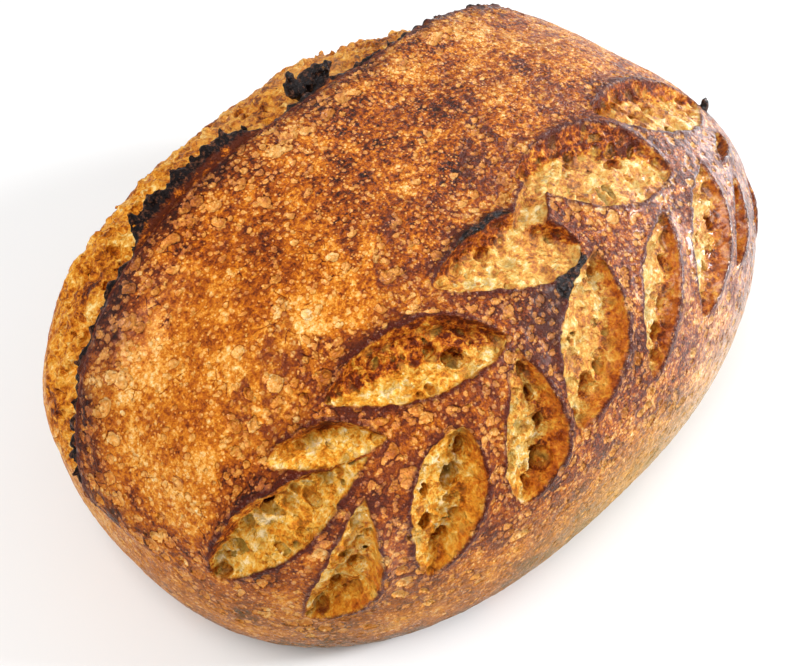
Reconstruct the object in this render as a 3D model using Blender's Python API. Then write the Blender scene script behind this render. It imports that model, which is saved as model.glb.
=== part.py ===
"""Sourdough loaf: a long domed loaf on a flat base, one solid.

One long slash runs beside the ridge. Its near edge has lifted into an ear, and behind the ear
the dough has opened into a sunken bloom. On the other side a branch of shorter slashes has
opened into two rows of lens-shaped leaves, each with a lip raised on one side.

Frame: +X along the loaf, +Y towards the bloom, +Z up. The origin is the middle of the base.
"Lean" is the angle about the loaf's waist line, from straight up towards the leaves' side (-Y).
"""

import math

import bmesh
import bpy
import numpy as np
from mathutils import Vector

# Driving sizes, metres
LENGTH = 0.240
WIDTH = 0.182
HEIGHT = 0.106
WAIST_HEIGHT = 0.038  # where the loaf is widest
BASE_SHARE = 0.86  # flat base, as a share of the widest outline
PLAN_POWER = 2.48  # 2 is an ellipse, more is squarer
DOME_POWER = 2.54
TAPER = 0.04  # how much wider the +X end is than the middle

# The long slash
EAR_OFFSET = 0.036  # from the ridge to the ear's edge
EAR_END_POWER = 2.5  # how late the ear's line bends in towards its -X end
EAR_SWAY = 0.007  # how far the line swings out near its +X end
EAR_SWAY_AT = 0.068
EAR_SWAY_SPAN = 0.034
EAR_LIFT = 0.0020
EAR_RAMP = 0.020
EAR_STOP = 0.104
EAR_STOP_FADE = 0.030
EAR_FLAT_END = 0.108  # past this station the ear is no longer raised
BLOOM_WIDTH = 0.046
BLOOM_REACH = 0.122  # station at which the bloom would close to a point
BLOOM_SINK = 0.0065
BLOOM_EDGE = 0.0025  # width of the step down behind the ear
SLASH_LOWEST = 0.044  # height at which the slash runs out at the -X end
SLASH_FADE = 0.012

# The leaves: root and tip as (station along X in mm, lean in degrees), then how far the outline
# bulges on its two sides in mm, and where along the leaf it is widest
UPPER_LEAVES = (
    ((-67, 49), (-92, 41), 8.0, 1.6, 0.55),
    ((-69, 49), (-113, 68), 11.5, 6.0, 0.60),
    ((-27, 47), (-74, 36), 12.5, 8.0, 0.45),
    ((8, 43), (-33, 31), 15.0, 7.5, 0.38),
    ((55, 43), (11, 23), 18.0, 13.0, 0.45),
    ((102, 38), (51, 21), 9.5, 16.5, 0.55),
)
LOWER_LEAVES = (
    ((-77, 53), (-101, 89), 3.0, 14.0, 0.62),
    ((-51, 54), (-73, 82), 12.0, 8.5, 0.42),
    ((-26, 47), (-45, 75), 7.5, 12.0, 0.60),
    ((12, 44), (-23, 68), 11.5, 10.5, 0.52),
    ((41, 47), (7, 71), 10.0, 5.5, 0.50),
    ((69, 46), (36, 70), 10.5, 7.5, 0.52),
    ((82, 52), (59, 69), 4.0, 5.0, 0.60),
    ((92, 60), (84, 75), 2.5, 2.5, 0.50),
    ((92, 46), (77, 50), 2.5, 3.0, 0.50),
)
LEAF_DEPTH = 0.0042
LEAF_DEPTH_SHARE = 0.45  # a narrow leaf is no deeper than this share of its width
LEAF_END_POWER = 0.7  # under 1 the leaf's ends are rounder
LIP_HEIGHT = 0.0022
LIP_WIDTH = 0.006
DEEPEST_AT = 0.72  # across the leaf, from its flush edge to its lip

# Small numbers for slopes and for keeping away from dividing by nothing
STEP = 0.0001
TINY = 1e-9
HALVINGS = 40

# The mesh
MERIDIANS = 320
PARALLELS = 240
UPPER_SHARE = 0.62  # of the parallels, above the waist
LOWER_SHARE = 0.14  # of the parallels, from the waist to the base
TRIANGLES = 9400
CRUST_COLOUR = (0.42, 0.17, 0.045, 1.0)
CRUST_ROUGHNESS = 0.45


def smooth(low, high, value):
    share = np.clip((value - low) / (high - low), 0.0, 1.0)
    return share * share * (3.0 - 2.0 * share)


def half_width(x):
    """The widest outline's half width near station x, with the taper."""
    return 0.5 * WIDTH * (1.0 + TAPER * x / (0.5 * LENGTH)) / (1.0 + 0.5 * TAPER)


def dome_level(x, y, z):
    """1 on the smooth dome, less inside it."""
    across = np.abs(x / (0.5 * LENGTH)) ** PLAN_POWER + np.abs(y / half_width(x)) ** PLAN_POWER
    up = np.maximum(z - WAIST_HEIGHT, 0.0) / (HEIGHT - WAIST_HEIGHT)
    return across ** (DOME_POWER / PLAN_POWER) + up**DOME_POWER


def dome_point(station, lean):
    """The point of the dome at a station in mm and a lean in degrees, found by halving."""
    x = station / 1000.0
    side, up = math.sin(math.radians(lean)), math.cos(math.radians(lean))
    near, far = 0.0, LENGTH
    for _ in range(HALVINGS):
        reach = 0.5 * (near + far)
        if dome_level(x, -reach * side, WAIST_HEIGHT + reach * up) < 1.0:
            near = reach
        else:
            far = reach
    return np.array((x, -reach * side, WAIST_HEIGHT + reach * up))


def dome_normals(points):
    x, y, z = points.T
    slope = np.stack(
        (
            dome_level(x + STEP, y, z) - dome_level(x - STEP, y, z),
            dome_level(x, y + STEP, z) - dome_level(x, y - STEP, z),
            dome_level(x, y, z + STEP) - dome_level(x, y, z - STEP),
        ),
        axis=1,
    )
    return slope / np.maximum(np.linalg.norm(slope, axis=1, keepdims=True), TINY)


def loaf_points(sphere):
    """Maps points of a unit sphere to the smooth loaf: dome, rounded lower edge and flat base."""
    turn = np.arctan2(sphere[:, 1], sphere[:, 0])
    share = np.arccos(np.clip(sphere[:, 2], -1.0, 1.0)) / math.pi
    upper = np.clip(share / UPPER_SHARE, 0.0, 1.0)
    lower = np.clip((share - UPPER_SHARE) / LOWER_SHARE, 0.0, 1.0)
    base = np.clip((share - UPPER_SHARE - LOWER_SHARE) / (1.0 - UPPER_SHARE - LOWER_SHARE), 0.0, 1.0)

    radius = np.sin(0.5 * math.pi * upper)
    rise = np.maximum(1.0 - radius**DOME_POWER, 0.0) ** (1.0 / DOME_POWER)
    height = WAIST_HEIGHT + (HEIGHT - WAIST_HEIGHT) * rise
    radius -= (1.0 - BASE_SHARE) * (1.0 - np.cos(0.5 * math.pi * lower))
    radius *= 1.0 - base
    height = np.where(upper < 1.0, height, WAIST_HEIGHT * (1.0 - np.sin(0.5 * math.pi * lower)))

    reach_x = np.abs(np.cos(turn) / (0.5 * LENGTH)) ** PLAN_POWER
    reach_y = np.abs(np.sin(turn) / half_width(0.0)) ** PLAN_POWER
    outline = (reach_x + reach_y) ** (-1.0 / PLAN_POWER)
    x = radius * outline * np.cos(turn)
    y = radius * outline * np.sin(turn) * half_width(x) / half_width(0.0)
    return np.stack((x, y, height), axis=1)


def ear_line(x):
    """The ear's edge in plan: Y at station x."""
    inward = np.clip(-x / (0.5 * LENGTH), 0.0, 1.0) ** EAR_END_POWER
    sway = EAR_SWAY * np.exp(-(((x - EAR_SWAY_AT) / EAR_SWAY_SPAN) ** 2))
    return EAR_OFFSET * np.sqrt(np.maximum(1.0 - inward, 0.0)) + sway


def slash_relief(points):
    """Height of the ear and depth of the bloom, along the dome's normal."""
    x, y, z = points.T
    slope = (ear_line(x + STEP) - ear_line(x - STEP)) / (2.0 * STEP)
    past_ear = (y - ear_line(x)) / np.sqrt(1.0 + slope * slope)
    along = smooth(SLASH_LOWEST, SLASH_LOWEST + SLASH_FADE, z)
    along *= 1.0 - smooth(EAR_STOP - EAR_STOP_FADE, EAR_STOP, x)
    step_down = smooth(0.0, BLOOM_EDGE, past_ear)
    closing = np.minimum(np.abs(x) / BLOOM_REACH, 1.0) ** 3
    far_edge = BLOOM_WIDTH * np.sqrt(1.0 - closing) + BLOOM_EDGE
    opened = step_down * (1.0 - smooth(0.5 * far_edge, far_edge, y - ear_line(x)))
    lift = smooth(-EAR_RAMP, 0.0, past_ear) * (1.0 - step_down)
    lift *= 1.0 - smooth(EAR_FLAT_END, 0.5 * LENGTH, np.abs(x))
    return along * (EAR_LIFT * lift - BLOOM_SINK * opened)


def leaf_relief(points, leaf, lip_side):
    """Height of one leaf's raised lip and depth of its cut. lip_side is 1 or -1 across the leaf."""
    (root_at, tip_at, bulge_low, bulge_high, belly) = leaf
    root, tip = dome_point(*root_at), dome_point(*tip_at)
    length = float(np.linalg.norm(tip - root))
    ahead = (tip - root) / length
    outward = dome_normals(0.5 * (root + tip)[None])[0]
    across = np.cross(outward, ahead)
    across /= np.linalg.norm(across)

    place = (points - root) @ ahead / length
    side = (points - root) @ across
    near = np.abs((points - 0.5 * (root + tip)) @ outward) < 0.5 * length
    inside = np.clip(place, 0.0, 1.0) ** (math.log(0.5) / math.log(belly))
    fullness = np.sin(math.pi * inside) ** LEAF_END_POWER * near
    low, high = bulge_low / 1000.0 * fullness, bulge_high / 1000.0 * fullness
    if lip_side < 0:
        side, low, high = -side, high, low

    width = low + high
    across_share = np.clip((side + low) / np.maximum(width, TINY), 0.0, 1.0)
    falling = smooth(0.0, DEEPEST_AT, across_share)
    rising = 1.0 - smooth(DEEPEST_AT, 1.0, across_share)
    depth = np.minimum(LEAF_DEPTH, LEAF_DEPTH_SHARE * width)
    past_lip = np.clip((side - high) / LIP_WIDTH, 0.0, 1.0)
    lip = LIP_HEIGHT * fullness * (1.0 - past_lip) ** 2 * (1.0 - rising)
    return lip - depth * falling * rising


def set_material(loaf):
    crust = bpy.data.materials.new("browned_crust")
    crust.use_nodes = True
    shader = crust.node_tree.nodes["Principled BSDF"]
    shader.inputs["Base Color"].default_value = CRUST_COLOUR
    shader.inputs["Roughness"].default_value = CRUST_ROUGHNESS
    loaf.data.materials.append(crust)


def make_loaf(collection):
    shape = bmesh.new()
    bmesh.ops.create_uvsphere(shape, u_segments=MERIDIANS, v_segments=PARALLELS, radius=1.0)
    sphere = np.array([vertex.co for vertex in shape.verts], dtype=float)
    points = loaf_points(sphere)

    on_dome = smooth(WAIST_HEIGHT - 0.006, WAIST_HEIGHT + 0.004, points[:, 2])
    relief = slash_relief(points)
    for leaf in UPPER_LEAVES:
        relief += leaf_relief(points, leaf, -1)
    for leaf in LOWER_LEAVES:
        relief += leaf_relief(points, leaf, 1)
    points += dome_normals(points) * (relief * on_dome)[:, None]
    for vertex, point in zip(shape.verts, points, strict=True):
        vertex.co = Vector(point)

    mesh = bpy.data.meshes.new("loaf")
    shape.to_mesh(mesh)
    shape.free()
    mesh.shade_smooth()
    loaf = bpy.data.objects.new("loaf", mesh)
    collection.objects.link(loaf)
    set_material(loaf)

    fewer = loaf.modifiers.new("fewer_triangles", "DECIMATE")
    fewer.decimate_type = "COLLAPSE"
    fewer.ratio = TRIANGLES / (2.0 * MERIDIANS * (PARALLELS - 1))


def main():
    for old in list(bpy.data.objects):
        bpy.data.objects.remove(old, do_unlink=True)
    collection = bpy.data.collections.new("sourdough_loaf")
    bpy.context.scene.collection.children.link(collection)
    make_loaf(collection)


main()
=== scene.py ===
"""Looks of the sourdough loaf: its fine surface, its materials, light and camera.

The loaf's surface is worked out as a field: the signed height of any point over the finished
surface. The smooth dome is the one that the CAD solid has, and the ear, the bloom, the opened
leaves, their lips and their pores are added to it. The field is turned into quads, and small
relief such as blisters moves the vertices. Lengths inside the field are in millimetres.
"""

import itertools
import math

import bpy
import numpy as np
import openvdb
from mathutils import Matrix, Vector


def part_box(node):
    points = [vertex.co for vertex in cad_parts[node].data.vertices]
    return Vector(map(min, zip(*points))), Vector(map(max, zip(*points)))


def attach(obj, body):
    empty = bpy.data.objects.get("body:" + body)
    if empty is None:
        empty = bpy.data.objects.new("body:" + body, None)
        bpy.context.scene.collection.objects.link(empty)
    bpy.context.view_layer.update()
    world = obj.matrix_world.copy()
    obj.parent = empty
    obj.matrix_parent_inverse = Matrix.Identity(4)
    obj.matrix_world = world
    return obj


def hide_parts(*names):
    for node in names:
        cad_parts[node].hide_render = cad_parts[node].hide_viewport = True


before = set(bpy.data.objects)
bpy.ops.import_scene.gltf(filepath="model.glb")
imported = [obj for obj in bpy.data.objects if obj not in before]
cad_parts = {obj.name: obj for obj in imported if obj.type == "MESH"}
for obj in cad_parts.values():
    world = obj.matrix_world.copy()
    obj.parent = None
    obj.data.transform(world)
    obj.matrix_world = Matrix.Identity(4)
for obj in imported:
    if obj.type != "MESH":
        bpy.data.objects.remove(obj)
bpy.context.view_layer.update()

MM = 0.001
VOXEL = 0.58

# The smooth dome, from the CAD solid's box
loaf_low, loaf_high = (np.array(corner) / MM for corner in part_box("loaf"))
HALF_LENGTH = 0.5 * (loaf_high[0] - loaf_low[0])
HALF_WIDTH = 0.5 * (loaf_high[1] - loaf_low[1]) / 1.003  # at the middle: the +X end is a little wider
HEIGHT = loaf_high[2]
WAIST_HEIGHT = 38.0
BASE_SHARE = 0.86
PLAN_POWER = 2.48
DOME_POWER = 2.54
TAPER = 0.04

# The long slash
EAR_OFFSET = 36.0
EAR_END_POWER = 2.5
EAR_SWAY = 7.0
EAR_SWAY_AT = 68.0
EAR_SWAY_SPAN = 34.0
EAR_LIFT = 3.0
EAR_RAMP = 24.0
EAR_STOP = 104.0
EAR_STOP_FADE = 30.0
EAR_THICKNESS = 3.2
EAR_UNDERCUT = 5.0
BLOOM_WIDTH = 46.0
BLOOM_REACH = 122.0
BLOOM_SINK = 6.0
SLASH_LOWEST = 44.0
SLASH_FADE = 12.0

LEAF_DEPTH = 5.4
LEAF_DEPTH_SHARE = 0.42
LEAF_ROOT_POWER = 0.95
LEAF_TIP_POWER = 0.62
LIP_HEIGHT = 2.4
LIP_WIDTH = 5.5
FOAM_SIZE = 4.4
FOAM_DEPTH = 2.3
# Of the two rows of leaves: how brown the toasted side is, how dark the painted shade line in the
# crevice at its foot is, the share across the leaf at which the wall under the lip starts, and how far
# that wall goes to a plain orange-brown, partly painted shade
UPPER_ROW = (0.80, 0.0, 0.76, 0.25)
LOWER_ROW = (0.50, 0.35, 0.77, 1.0)

# Torn, burnt scraps of dough: two ends, the radius at each
BURNT_SCRAPS = (
    ((-2, 48, 100), (-3, 49, 104.5), 3.2, 1.8),
    ((3, 48, 100.5), (7, 48, 102.5), 3.4, 2.2),
    ((8, 47.5, 100), (10, 47, 103), 2.6, 1.4),
    ((-24, 46, 98), (-24.5, 47, 101.5), 1.2, 0.7),
    ((99.5, -36, 77.5), (103, -33.5, 81.5), 2.2, 0.4),
)
SCRAP_REACH = 28.0  # a scrap isn't worked out further than this from its start

# Round places of the crust, and the toasted ones of the bloom: centre, radius, strength
DARK_SPOTS = (
    ((52, -6, 103), 34, 0.18),
    ((70, 12, 99), 22, 0.25),
    ((5, 16, 106), 24, 0.18),
    ((-60, -72, 72), 14, 0.55),
    ((-22, -62, 90), 16, 0.28),
    ((25, -62, 92), 14, 0.05),
    ((-74, -64, 77), 14, 0.60),
    ((-62, 14, 99), 21, 0.35),
    ((-88, -56, 72), 9, 0.9),
    ((-93, -34, 82), 10, -0.3),
    ((-98, -34, 78), 8, 0.7),
    ((-52, -46, 95), 9, 0.5),
)
PALE_SPOTS = (
    ((-96, -10, 86), 26, 0.85),
    ((-64, -18, 98), 20, 0.25),
    ((-43, 7, 104), 9, 0.6),
    ((-38, -10, 104), 10, 0.4),
    ((43, 17, 104), 9, 0.75),
    ((12, 17, 106), 7, 0.45),
    ((6, -17, 106), 18, 0.4),
    ((-82, -68, 61), 7, 1.1),
    ((-108, 0, 74), 16, 0.5),
)
SCORCHED_SPOTS = (
    ((-2, -56, 97), 7, 1),
    ((-9, -62, 92), 9, 0.8),
)
CHARRED_SPOTS = (
    ((2.5, -57, 95.5), 6, 1.2),
    ((-3.5, -60, 93.5), 6, 1.1),
)
SHINY_SPOTS = (
    ((-80, -68, 65), 16, 0.5),
    ((-20, -62, 90), 18, 0.2),
    ((-94, 22, 86), 16, 0.5),
)
BUBBLY_SPOTS = (
    ((-82, -68, 61), 9, 1.2),
    ((-40, 24, 101), 16, 0.8),
    ((-70, 20, 95), 12, 0.6),
)
TOASTED_SPOTS = (
    ((-84, 48, 83), 8, 1),
    ((-93, 49, 77), 9, 1),
    ((-112, 33, 60), 9, 0.7),
    ((-60, 56, 84), 7, 0.5),
    ((-5, 62, 92), 18, 0.6),
    ((40, 62, 90), 18, 0.6),
)


# ---- noise

TABLE_SIZE = 64
SEEDS = np.random.default_rng(11)
TABLE = SEEDS.random((TABLE_SIZE,) * 3).astype(np.float32)
CENTRES = SEEDS.random((TABLE_SIZE,) * 3 + (3,)).astype(np.float32)
CELL_NUMBER = SEEDS.random((TABLE_SIZE,) * 3).astype(np.float32)
TURNS = [np.linalg.qr(SEEDS.normal(size=(3, 3)))[0].astype(np.float32) for _ in range(16)]
SHIFTS = SEEDS.uniform(100.0, 900.0, (16, 3)).astype(np.float32)


def smooth(low, high, value):
    share = np.clip((value - low) / (high - low), 0.0, 1.0)
    return share * share * (3.0 - 2.0 * share)


def noise(points, size, kind=0):
    """Smooth noise from -1 to 1, with bumps about size across. Each kind is another pattern."""
    place = points @ TURNS[kind] / np.float32(size) + SHIFTS[kind]
    cell = np.floor(place).astype(np.int32)
    part = place - cell
    part *= part * (3.0 - 2.0 * part)
    low, high = cell & (TABLE_SIZE - 1), (cell + 1) & (TABLE_SIZE - 1)
    total = np.zeros(len(points), np.float32)
    for corner in itertools.product((0, 1), repeat=3):
        index = [high[:, axis] if up else low[:, axis] for axis, up in enumerate(corner)]
        weight = np.ones(len(points), np.float32)
        for axis, up in enumerate(corner):
            weight *= part[:, axis] if up else 1.0 - part[:, axis]
        total += weight * TABLE[tuple(index)]
    return 2.0 * total - 1.0


def rough(points, size, octaves, kind=0):
    """Noise with finer noise on top, each octave half as large."""
    total, weight, whole = 0.0, 1.0, 0.0
    for octave in range(octaves):
        total = total + weight * noise(points, size / 2**octave, (kind + octave) % len(TURNS))
        whole += weight
        weight *= 0.55
    return total / whole


def cells(points, size, kind=0):
    """Distance to the nearest of many scattered centres, distance to the next one, and the
    nearest one's own random number. The centres are about size apart."""
    place = points @ TURNS[kind] / np.float32(size) + SHIFTS[kind]
    cell = np.floor(place).astype(np.int32)
    part = place - cell
    first = np.full(len(points), 9.0, np.float32)
    second = first.copy()
    number = np.zeros(len(points), np.float32)
    for offset in itertools.product((-1, 0, 1), repeat=3):
        index = tuple(((cell + np.array(offset, np.int32)) & (TABLE_SIZE - 1)).T)
        away = CENTRES[index] + np.array(offset, np.float32) - part
        distance = np.einsum("ij,ij->i", away, away)
        nearer = distance < first
        second = np.where(nearer, first, np.minimum(second, distance))
        number = np.where(nearer, CELL_NUMBER[index], number)
        first = np.where(nearer, distance, first)
    return np.sqrt(first) * size, np.sqrt(second) * size, number


def soft_min(a, b, blend):
    share = np.clip(0.5 + 0.5 * (b - a) / blend, 0.0, 1.0)
    return b + (a - b) * share - blend * share * (1.0 - share)


def soft_max(a, b, blend):
    return -soft_min(-a, -b, blend)


# ---- the smooth dome


def half_width(x):
    return HALF_WIDTH * (1.0 + TAPER * x / HALF_LENGTH)


def shell(points):
    """Each point's height over the smooth loaf, the direction out of it, and its foot there."""
    x, y, z = points.T
    wide = half_width(x)
    along, across = np.abs(x) / HALF_LENGTH + 1e-6, np.abs(y) / wide + 1e-6
    ring = (along**PLAN_POWER + across**PLAN_POWER) ** (1.0 / PLAN_POWER)
    ring_x = np.sign(x) * (along / ring) ** (PLAN_POWER - 1.0) / HALF_LENGTH
    ring_y = np.sign(y) * (across / ring) ** (PLAN_POWER - 1.0) / wide

    up = np.maximum(z - WAIST_HEIGHT, 0.0) / (HEIGHT - WAIST_HEIGHT)
    dome = (ring**DOME_POWER + up**DOME_POWER) ** (1.0 / DOME_POWER)
    dome_ring = (ring / dome) ** (DOME_POWER - 1.0)
    dome_z = (up / dome) ** (DOME_POWER - 1.0) / (HEIGHT - WAIST_HEIGHT)

    down = (WAIST_HEIGHT - z) / WAIST_HEIGHT
    outer = np.maximum(ring - BASE_SHARE, 0.0) / (1.0 - BASE_SHARE)
    foot = np.sqrt(outer * outer + down * down) + 1e-6
    foot_ring = outer / foot / (1.0 - BASE_SHARE)
    foot_z = -down / foot / WAIST_HEIGHT

    above = z >= WAIST_HEIGHT
    level = np.where(above, dome, foot)
    by_ring = np.where(above, dome_ring, foot_ring)
    slope = np.stack((by_ring * ring_x, by_ring * ring_y, np.where(above, dome_z, foot_z)), axis=1)
    steepness = np.sqrt(np.einsum("ij,ij->i", slope, slope)) + 1e-6
    height = (level - 1.0) / steepness
    outward = slope / steepness[:, None]
    feet = points - outward * np.clip(height, -12.0, 12.0)[:, None]
    return height, outward, feet


def dome_point(station, lean):
    """The point of the smooth dome at a station and a lean, found by halving."""
    side, up = math.sin(math.radians(lean)), math.cos(math.radians(lean))
    near, far = 0.0, 2.0 * HALF_LENGTH
    for _ in range(40):
        reach = 0.5 * (near + far)
        place = np.array([[station, -reach * side, WAIST_HEIGHT + reach * up]])
        if shell(place)[0][0] < 0.0:
            near = reach
        else:
            far = reach
    return place[0]


# ---- the long slash


def ear_line(x):
    inward = np.clip(-x / HALF_LENGTH, 0.0, 1.0) ** EAR_END_POWER
    sway = EAR_SWAY * np.exp(-(((x - EAR_SWAY_AT) / EAR_SWAY_SPAN) ** 2))
    return EAR_OFFSET * np.sqrt(np.maximum(1.0 - inward, 0.0)) + sway


def slash_place(feet):
    """How far a foot is past the ear's edge, its share of the way across the bloom, and the
    slash's strength there, which fades at its ends."""
    x, y, z = feet.T
    slope = (ear_line(x + 0.1) - ear_line(x - 0.1)) / 0.2
    past = (y - ear_line(x)) / np.sqrt(1.0 + slope * slope)
    closing = np.minimum(np.abs(x) / BLOOM_REACH, 1.0) ** 3
    far_edge = BLOOM_WIDTH * np.sqrt(1.0 - closing) + 2.0
    strength = smooth(SLASH_LOWEST, SLASH_LOWEST + SLASH_FADE, z)
    strength *= 1.0 - smooth(EAR_STOP - EAR_STOP_FADE, EAR_STOP, x)
    return past, (y - ear_line(x)) / far_edge, strength


# ---- the leaves


class Leaf:
    """One opened cut. Its root and tip are given as (station along X, lean in degrees).

    One side is flush with the crust and the other has a raised lip; the outline bulges from the
    line between root and tip by so much on each. belly says where along the leaf it is widest,
    scorch how dark its lip is, and brown from which share across its crumb is toasted.
    Pores are (share along, share across from the flush side, radius).
    """

    def __init__(
        self, root_at, tip_at, flush, lipped, belly, upper=False, scorch=0.5, brown=0.8, pores=()
    ):
        root, tip = dome_point(*root_at), dome_point(*tip_at)
        self.root, self.centre = root, 0.5 * (root + tip)
        self.length = float(np.linalg.norm(tip - root))
        self.ahead = (tip - root) / self.length
        self.out = shell(self.centre[None])[1][0]
        self.across = np.cross(self.out, self.ahead)
        self.across /= np.linalg.norm(self.across)
        if upper:
            self.across = -self.across
        self.flush, self.lipped = flush, lipped
        self.scorch, self.brown, self.pores = scorch, brown, pores
        self.belly = math.log(0.5) / math.log(belly)
        self.toasted, self.crevice, self.wall_from, self.plain_wall = UPPER_ROW if upper else LOWER_ROW
        # The leaves towards +X are shallower, with lower lips
        flatter = float(smooth(-30.0, 35.0, self.centre[0]))
        self.depth = LEAF_DEPTH * (1.0 - 0.38 * flatter)
        self.lip = LIP_HEIGHT * (1.0 - 0.45 * flatter)

    def near(self, points):
        away = points - self.centre
        reach = 0.6 * self.length + LIP_WIDTH + 4.0
        return np.einsum("ij,ij->i", away, away) < reach * reach

    def fullness(self, along):
        along = np.clip(along, 0.0, 1.0)
        power = LEAF_ROOT_POWER + (LEAF_TIP_POWER - LEAF_ROOT_POWER) * along
        return np.sin(math.pi * along**self.belly) ** power

    def place(self, feet):
        """Distance across the leaf, its two edges there, and how full the leaf is there."""
        along = (feet - self.root) @ self.ahead / self.length
        side = (feet - self.root) @ self.across
        full = self.fullness(along)
        wander = (0.55 * noise(feet, 5.0, 3) + 0.35 * noise(feet, 2.0, 4)) * np.minimum(2.0 * full, 1.0)
        return side + wander, self.flush * full, self.lipped * full, full

    def drawn(self, points):
        """Points in the leaf's own axes, closer together across it, where the crumb was drawn out."""
        away = points - self.root
        own_axes = (away @ self.ahead, away @ self.across / 1.7, away @ self.out)
        return np.stack(own_axes, axis=1).astype(np.float32)

    def pore_depth(self, points):
        """Signed depth into the nearest of the leaf's own pores: above 0 inside."""
        away = points - self.root
        along, side, up = away @ self.ahead, away @ self.across, away @ self.out
        deepest = np.full(len(points), -9.0, np.float32)
        bent = 0.8 * noise(points, 3.0, 2) + 0.45 * noise(points, 1.4, 7)
        for share, across, radius in self.pores:
            full = float(self.fullness(np.array(share)))
            middle = (-self.flush + across * (self.flush + self.lipped)) * full
            ahead = 0.75 * (along - share * self.length)
            off = np.sqrt(ahead**2 + (side - middle) ** 2 + (0.35 * up) ** 2)
            deepest = np.maximum(deepest, radius - off + bent)
        return deepest


LEAVES = (
    Leaf((-67, 49), (-93, 40), 4.0, 8.0, 0.52, True, 0.3, 0.85, (
        (0.70, 0.62, 1.8), (0.34, 0.6, 1.3),
    )),
    Leaf((-69, 49), (-113, 69), 6.5, 11.5, 0.60, True, 0.6, 0.80, (
        (0.96, 0.35, 2.0), (0.55, 0.82, 1.5), (0.88, 0.6, 1.2),
    )),
    Leaf((-27, 47), (-74, 36), 8.0, 12.5, 0.45, True, 0.5, 0.50, (
        (0.30, 0.42, 3.4), (0.40, 0.62, 2.4), (0.58, 0.2, 1.6),
    )),
    Leaf((8, 43), (-33, 31), 7.5, 15.0, 0.38, True, 1.7, 0.82, (
        (0.60, 0.70, 2.6), (0.45, 0.75, 1.8),
    )),
    Leaf((55, 43), (11, 23), 13.5, 18.0, 0.45, True, 0.4, 0.64, (
        (0.35, 0.55, 2.0), (0.30, 0.36, 1.4), (0.62, 0.60, 1.7),
    )),
    Leaf((18, 25), (-7, 36), 5.0, 5.0, 0.50, True, 0.2, 1.2),
    Leaf((102, 38), (51, 21), 16.5, 9.5, 0.55, True, 0.4, 0.72, (
        (0.55, 0.60, 2.4), (0.70, 0.50, 1.8),
    )),
    Leaf((-77, 53), (-101, 89), 3.0, 14.0, 0.62, False, 0.2, 0.92, (
        (0.88, 0.40, 1.6), (0.92, 0.68, 1.8), (0.72, 0.45, 1.5), (0.55, 0.5, 1.3),
    )),
    Leaf((-51, 54), (-73, 82), 12.0, 8.5, 0.42, False, 0.3, 0.92, (
        (0.16, 0.72, 2.4), (0.34, 0.62, 3.2), (0.42, 0.22, 1.6), (0.62, 0.30, 2.0),
        (0.74, 0.66, 2.2), (0.58, 0.80, 1.4),
    )),
    Leaf((-26, 47), (-45, 75), 7.5, 12.0, 0.60, False, 0.5, 0.84, (
        (0.35, 0.70, 1.8), (0.52, 0.75, 1.6), (0.75, 0.76, 3.0), (0.88, 0.58, 1.6),
        (0.18, 0.55, 1.4),
    )),
    Leaf((12, 44), (-23, 68), 11.5, 10.5, 0.52, False, 0.3, 0.86, (
        (0.12, 0.60, 2.2), (0.64, 0.78, 2.0), (0.76, 0.62, 2.6), (0.90, 0.50, 1.6),
    )),
    Leaf((41, 47), (7, 71), 10.0, 5.5, 0.50, False, 0.3, 0.84, (
        (0.30, 0.72, 1.4), (0.55, 0.70, 1.7), (0.72, 0.64, 2.0),
    )),
    Leaf((69, 46), (36, 70), 10.5, 7.5, 0.52, False, 0.3, 0.80, (
        (0.22, 0.66, 1.6), (0.40, 0.70, 1.9), (0.58, 0.66, 1.5),
    )),
    Leaf((82, 52), (59, 69), 4.0, 5.0, 0.60, False, 0.3, 0.70),
    Leaf((92, 60), (84, 75), 2.5, 2.5, 0.50, False, 0.3, 0.60),
    Leaf((92, 46), (77, 50), 2.5, 3.0, 0.50, False, 0.3, 0.60),
)


def foam(points, size, kind):
    """Cups of a torn foam: 0 on the webs between them, up to 1 at the bottom of the deep ones."""
    drift = np.stack([noise(points, 1.3 * size, kind + turn) for turn in (1, 2, 3)], axis=1)
    bent = points + 0.4 * size * drift
    first, second, number = cells(bent, size, kind)
    return smooth(0.04 * size, 0.42 * size, second - first) * smooth(0.05, 0.75, number)


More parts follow.
